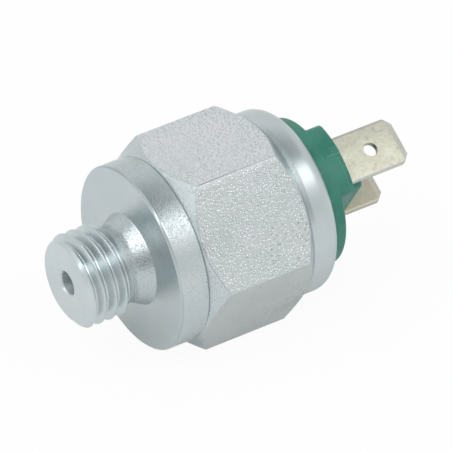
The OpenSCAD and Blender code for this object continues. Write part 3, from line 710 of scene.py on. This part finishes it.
# The moulding lines stand out of the bar's ends, and they are painted pale: a painted highlight along their ridges
along = use_group(tree, lathe_group, {"Place": spot, "Per mm": 6.0})
proud = math_node(tree, "GREATER_THAN", along.outputs["Out"], CAP_R + 0.006)
on_bar = math_node(tree, "GREATER_THAN", along.outputs["Along"], STEP_TOP_S + 0.05)
ridge_highlight = math_node(tree, "MULTIPLY", math_node(tree, "MULTIPLY", proud, on_bar), 0.5)
tree.links.new(blend_colours(tree, ridge_highlight, clouds.outputs["Color"], (0.16, 0.42, 0.33, 1)), shader.inputs["Base Color"])
tree.links.new(ramp(tree, clouds.outputs["Share"], [(0.0, (0.32,) * 3), (1.0, (0.42,) * 3)]), shader.inputs["Roughness"])
skin_bump = place(tree, "ShaderNodeBump", {"Height": skin.outputs["Height"], "Strength": 0.3, "Distance": 0.01 * MM})
tree.links.new(skin_bump.outputs[0], shader.inputs["Normal"])
cap.data.materials.clear()
cap.data.materials.append(cap_plastic)
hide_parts("insulator_cap")
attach(cap, "sensor_body")


# Blade terminals
# Two 6.3 x 0.8 mm blades, stamped from brass strip and tin plated: coined bevels along the edges,
# a lead-in at the tip, and a hole for the receptacle's dimple. Each is bent to a foot in the cap.
BLADE_TIP_S = 46.168
BLADE_CORNER = 1.0
BEVEL_TIP = 0.85
BEVEL_SIDE = 0.3
FOOT_S = CEILING_S - BLADE_T


def blade(name, turn):
    """One blade with its foot, made upright on the cap's +X side and turned to its own side."""
    inner_x = BLADE_X - BLADE_T / 2
    strip = upright_box(name, (inner_x, -BLADE_W / 2, FOOT_S), (inner_x + BLADE_T, BLADE_W / 2, BLADE_TIP_S))
    for up in (-1, 1):
        cut_plane(strip, (0, up * BLADE_W / 2 * MM, (BLADE_TIP_S - BLADE_CORNER) * MM), (0, up, 1))
    for out_ in (-1, 1):
        middle = Vector((BLADE_X, 0, 0)) * MM
        slope = math.atan2(0.24, BEVEL_TIP)
        cut_plane(strip, middle + Vector((out_ * 0.4, 0, BLADE_TIP_S - BEVEL_TIP)) * MM,
                  (out_ * math.cos(slope), 0, math.sin(slope)))
        for up in (-1, 1):
            slope = math.atan2(0.1, BEVEL_SIDE)
            cut_plane(strip, middle + Vector((out_ * 0.4, up * (BLADE_W / 2 - BEVEL_SIDE), 0)) * MM,
                      (out_ * math.cos(slope), up * math.sin(slope), 0))
    for up in (-1, 1):
        pinch = upright_box("foot_pinch", (0, up * 2.5 if up > 0 else -9, FOOT_S - 1), (9, 9 if up > 0 else -2.5, CEILING_S))
        combine(strip, pinch, "DIFFERENCE")
    foot = upright_box("foot", (inner_x + 0.1, -2.5, FOOT_S), (8.45, 2.5, CEILING_S))
    combine(strip, foot, "UNION")
    shank = upright_rod("shank_hole", 7.05, 0, FOOT_S - 1, CEILING_S + 1, 0.62, sides=32)
    combine(strip, shank, "DIFFERENCE")
    bpy.ops.object.select_all(action="DESELECT")
    bpy.ops.mesh.primitive_cylinder_add(vertices=64, radius=0.9 * MM, depth=3 * MM, rotation=(0, math.pi / 2, 0),
                                        location=(BLADE_X * MM, 0, (BLADE_TIP_S - 4.3) * MM))
    combine(strip, bpy.context.object, "DIFFERENCE")
    bpy.ops.object.modifier_add(type="BEVEL")
    edge = strip.modifiers[-1]
    edge.width = 0.045 * MM
    edge.segments = 2
    edge.limit_method = "ANGLE"
    edge.angle_limit = math.radians(35)
    bpy.ops.object.modifier_apply(modifier=edge.name)
    lay(strip, CAP_PLACE @ Matrix.Rotation(turn, 4, "Z"))
    smooth(strip, math.radians(20))
    return strip


def tinned(name, cold, warm, coined):
    """Tin plating over brass: handling stains, coined bevels in a colour of their own (a pale painted highlight on the
    far blade), and bare dark brass in the hole.
    """
    material, tree, shader = new_material(name)
    spot = axial_places(tree)
    clouds = use_group(tree, cloud_group, {"Place": spot, "Per mm": 0.8, "Cold": (*cold, 1), "Warm": (*warm, 1)})
    skin = use_group(tree, grain_group, {"Place": spot, "Per mm": 3.0, "Fine share": 1.2})
    stains = place(tree, "ShaderNodeTexNoise", {
        "Vector": spot, "Scale": 0.9, "Detail": 6.0, "Roughness": 0.62, "Distortion": 1.6})
    stain_share = ramp(tree, stains.outputs["Fac"], [(0.36, (0.38,) * 3), (0.44, (0.1,) * 3), (0.56, (0, 0, 0))])
    stained = blend_colours(tree, stain_share, clouds.outputs["Color"], (0.38, 0.36, 0.28, 1))
    length = place(tree, "ShaderNodeSeparateXYZ", {"Vector": spot}).outputs["X"]
    across_blade = place(tree, "ShaderNodeVectorMath", {
        0: spot, 1: (0, math.cos(CAP_TURN), math.sin(CAP_TURN))}, operation="DOT_PRODUCT").outputs["Value"]
    near_side = math_node(tree, "GREATER_THAN", math_node(tree, "ABSOLUTE", across_blade), BLADE_W / 2 - BEVEL_SIDE)
    near_tip = math_node(tree, "GREATER_THAN", length, BLADE_TIP_S - BEVEL_TIP)
    outside_cap = math_node(tree, "GREATER_THAN", length, CEILING_S + 0.3)
    bevelled = math_node(tree, "MULTIPLY", math_node(tree, "MAXIMUM", near_side, near_tip), outside_cap)
    coined_share = math_node(tree, "MULTIPLY", bevelled, 0.45)
    # The coined bevels take their own colour; the far blade's pale one is a painted highlight
    edged = blend_colours(tree, coined_share, stained, (*coined, 1))
    from_hole = place(tree, "ShaderNodeCombineXYZ", {
        "X": math_node(tree, "SUBTRACT", length, BLADE_TIP_S - 4.3), "Y": across_blade})
    hole_reach = place(tree, "ShaderNodeVectorMath", {0: from_hole.outputs[0]}, operation="LENGTH").outputs["Value"]
    in_hole = math_node(tree, "LESS_THAN", hole_reach, 0.925)
    tree.links.new(blend_colours(tree, in_hole, edged, (0.52, 0.50, 0.43, 1)), shader.inputs["Base Color"])
    shader.inputs["Metallic"].default_value = 1.0
    worn = ramp(tree, clouds.outputs["Share"], [(0.0, (0.44,) * 3), (1.0, (0.56,) * 3)])
    tree.links.new(blend_colours(tree, coined_share, worn, (0.34,) * 3 + (1,)), shader.inputs["Roughness"])
    skin_bump = place(tree, "ShaderNodeBump", {"Height": skin.outputs["Height"], "Strength": 0.6, "Distance": 0.01 * MM})
    slow_bump = place(tree, "ShaderNodeBump", {
        "Height": clouds.outputs["Share"], "Strength": 0.5, "Distance": 0.03 * MM, "Normal": skin_bump.outputs[0]})
    tree.links.new(slow_bump.outputs[0], shader.inputs["Normal"])
    return material


# The far blade has its own darker, browner copy of the tin: brownish stains, with painted shade where it mirrors the
# near blade's dark back
for blade_name, turn, tin in (
        ("blade_far", 0, tinned("tinned_brass_far_shaded", (0.37, 0.38, 0.29), (0.53, 0.48, 0.39), (0.72, 0.71, 0.61))),
        ("blade_near", math.pi, tinned("tinned_brass_near", (0.68, 0.70, 0.56), (0.76, 0.73, 0.61), (0.58, 0.58, 0.58)))):
    strip = blade(blade_name, turn)
    strip.data.materials.clear()
    strip.data.materials.append(tin)
    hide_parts("blade_terminal_" + blade_name.split("_")[1])
    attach(strip, "sensor_body")


# Screw seal
# A drop of red sealing lacquer over the adjusting screw. It was poured into the bore after the
# switching pressure was set, crept up the wall as it hardened, and has a dull skin.
SCREW_TOP_S = 34.868
SEAL_TOP_S = 36.068

seal = turned("screw_seal_drop", rounded([
    (SCREW_TOP_S, 0.3), (SCREW_TOP_S, SCREW_R, 0.1), (SEAL_TOP_S, SCREW_R), (SEAL_TOP_S - 0.02, SCREW_R - 0.05),
    (SEAL_TOP_S - 0.38, SCREW_R - 0.42, 0.5), (SEAL_TOP_S - 0.5, 0.9), (SEAL_TOP_S - 0.49, 0.3)]), sides=96)
smooth(seal, math.radians(50))
lacquer, tree, shader = new_material("sealing_lacquer")
spot = axial_places(tree)
clouds = use_group(tree, cloud_group, {"Place": spot, "Per mm": 0.6, "Cold": (0.230, 0.012, 0.010, 1), "Warm": (0.330, 0.020, 0.014, 1)})
skin = use_group(tree, grain_group, {"Place": spot, "Per mm": 1.6, "Fine share": 1.0})
tree.links.new(clouds.outputs["Color"], shader.inputs["Base Color"])
tree.links.new(ramp(tree, clouds.outputs["Share"], [(0.0, (0.16,) * 3), (1.0, (0.34,) * 3)]), shader.inputs["Roughness"])
skin_bump = place(tree, "ShaderNodeBump", {"Height": skin.outputs["Height"], "Strength": 0.5, "Distance": 0.03 * MM})
tree.links.new(skin_bump.outputs[0], shader.inputs["Normal"])
seal.data.materials.clear()
seal.data.materials.append(lacquer)
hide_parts("screw_seal")
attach(seal, "sensor_body")


# Rubber parts
# The diaphragm is a moulded disc with a rolled convolution, clamped by its edge bead. The O-ring
# seals the cap in the housing. Both are black nitrile rubber with the fine grain of their moulds.
def finish_nodes(names, material):
    """Gives CAD pieces that keep their shape their material."""
    for name in names:
        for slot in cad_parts[name].material_slots:
            slot.material = material


rubber, tree, shader = new_material("moulded_rubber")
spot = axial_places(tree)
bloom = use_group(tree, cloud_group, {"Place": spot, "Per mm": 0.5, "Cold": (0.014, 0.014, 0.015, 1), "Warm": (0.026, 0.026, 0.027, 1)})
skin = use_group(tree, grain_group, {"Place": spot, "Per mm": 7.0, "Fine share": 0.8})
shader.inputs["Specular IOR Level"].default_value = 0.4
tree.links.new(bloom.outputs["Color"], shader.inputs["Base Color"])
tree.links.new(ramp(tree, bloom.outputs["Share"], [(0.0, (0.52,) * 3), (1.0, (0.70,) * 3)]), shader.inputs["Roughness"])
skin_bump = place(tree, "ShaderNodeBump", {"Height": skin.outputs["Height"], "Strength": 0.6, "Distance": 0.01 * MM})
tree.links.new(skin_bump.outputs[0], shader.inputs["Normal"])
finish_nodes(("diaphragm", "cap_seal"), rubber)


# Turned rings and brass
# The clamp ring and the spacer ring are turned from steel tube; the piston, the spring seat and the
# slotted adjusting screw are turned from brass rod. All show the fine rings of the lathe tool.
def turned_metal(name, cold, warm, low, high):
    """Bare turned metal: lathe rings, with a slow drift of colour and gloss."""
    material, tree, shader = new_material(name)
    spot = axial_places(tree)
    drift = use_group(tree, cloud_group, {"Place": spot, "Per mm": 0.4, "Cold": (*cold, 1), "Warm": (*warm, 1)})
    rings = use_group(tree, lathe_group, {"Place": spot, "Per mm": 8.0})
    tree.links.new(drift.outputs["Color"], shader.inputs["Base Color"])
    shader.inputs["Metallic"].default_value = 1.0
    shader.inputs["Anisotropic"].default_value = 0.4
    tree.links.new(rings.outputs["Round"], shader.inputs["Tangent"])
    tree.links.new(ramp(tree, drift.outputs["Share"], [(0.0, (low,) * 3), (1.0, (high,) * 3)]), shader.inputs["Roughness"])
    ring_bump = place(tree, "ShaderNodeBump", {"Height": rings.outputs["Height"], "Strength": 0.7, "Distance": 0.008 * MM})
    tree.links.new(ring_bump.outputs[0], shader.inputs["Normal"])
    return material


finish_nodes(("diaphragm_ring", "spacer_ring"), turned_metal("turned_steel", (0.44, 0.45, 0.46), (0.53, 0.54, 0.55), 0.24, 0.38))
finish_nodes(("piston", "spring_seat", "adjusting_screw"),
             turned_metal("turned_brass", (0.52, 0.38, 0.13), (0.62, 0.47, 0.19), 0.20, 0.34))


# Spring steel parts
# The coil spring that sets the pressure, the wave washer under the contact disc, the push-on ring
# above it and the thin disc under the rubber are cold-worked spring steel, oiled and slightly dark.
spring_steel, tree, shader = new_material("spring_steel")
spot = axial_places(tree)
temper = use_group(tree, cloud_group, {"Place": spot, "Per mm": 0.7, "Cold": (0.29, 0.30, 0.32, 1), "Warm": (0.40, 0.40, 0.40, 1)})
skin = use_group(tree, grain_group, {"Place": spot, "Per mm": 5.0, "Fine share": 1.2})
tree.links.new(temper.outputs["Color"], shader.inputs["Base Color"])
shader.inputs["Metallic"].default_value = 1.0
tree.links.new(ramp(tree, temper.outputs["Share"], [(0.0, (0.24,) * 3), (1.0, (0.40,) * 3)]), shader.inputs["Roughness"])
skin_bump = place(tree, "ShaderNodeBump", {"Height": skin.outputs["Height"], "Strength": 0.5, "Distance": 0.006 * MM})
tree.links.new(skin_bump.outputs[0], shader.inputs["Normal"])
finish_nodes(("support_disc", "contact_spring", "disc_retainer"), spring_steel)
# The coil is a copy of the solid's shape, shaded smooth
coil = bpy.data.objects.new("switching_coil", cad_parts["switching_spring"].data.copy())
bpy.context.collection.objects.link(coil)
only(coil)
bpy.ops.object.mode_set(mode="EDIT")
bpy.ops.mesh.select_all(action="SELECT")
bpy.ops.mesh.remove_doubles(threshold=WELD)
bpy.ops.mesh.normals_make_consistent(inside=False)
bpy.ops.object.mode_set(mode="OBJECT")
smooth(coil, math.radians(50))
coil.data.materials.clear()
coil.data.materials.append(spring_steel)
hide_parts("switching_spring")
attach(coil, "sensor_body")
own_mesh(coil)


# Plunger
# The white carrier that keeps the contact disc apart from the piston: moulded acetal with a satin skin.
acetal, tree, shader = new_material("white_acetal")
spot = axial_places(tree)
milk = use_group(tree, cloud_group, {"Place": spot, "Per mm": 0.5, "Cold": (0.74, 0.73, 0.67, 1), "Warm": (0.81, 0.80, 0.74, 1)})
skin = use_group(tree, grain_group, {"Place": spot, "Per mm": 6.0, "Fine share": 0.6})
tree.links.new(milk.outputs["Color"], shader.inputs["Base Color"])
tree.links.new(ramp(tree, milk.outputs["Share"], [(0.0, (0.36,) * 3), (1.0, (0.46,) * 3)]), shader.inputs["Roughness"])
skin_bump = place(tree, "ShaderNodeBump", {"Height": skin.outputs["Height"], "Strength": 0.4, "Distance": 0.008 * MM})
tree.links.new(skin_bump.outputs[0], shader.inputs["Normal"])
finish_nodes(("plunger",), acetal)


# Contacts
# The contact disc and the two rivets that it bridges are copper alloy with a silver face, which
# the air has tarnished a little yellow.
silver, tree, shader = new_material("silver_face")
spot = axial_places(tree)
tarnish = use_group(tree, cloud_group, {"Place": spot, "Per mm": 0.9, "Cold": (0.80, 0.79, 0.77, 1), "Warm": (0.66, 0.61, 0.50, 1)})
skin = use_group(tree, grain_group, {"Place": spot, "Per mm": 5.0, "Fine share": 0.7})
tree.links.new(tarnish.outputs["Color"], shader.inputs["Base Color"])
shader.inputs["Metallic"].default_value = 1.0
tree.links.new(ramp(tree, tarnish.outputs["Share"], [(0.0, (0.18,) * 3), (1.0, (0.36,) * 3)]), shader.inputs["Roughness"])
skin_bump = place(tree, "ShaderNodeBump", {"Height": skin.outputs["Height"], "Strength": 0.4, "Distance": 0.006 * MM})
tree.links.new(skin_bump.outputs[0], shader.inputs["Normal"])
finish_nodes(("contact_disc", "fixed_contact_near", "fixed_contact_far"), silver)
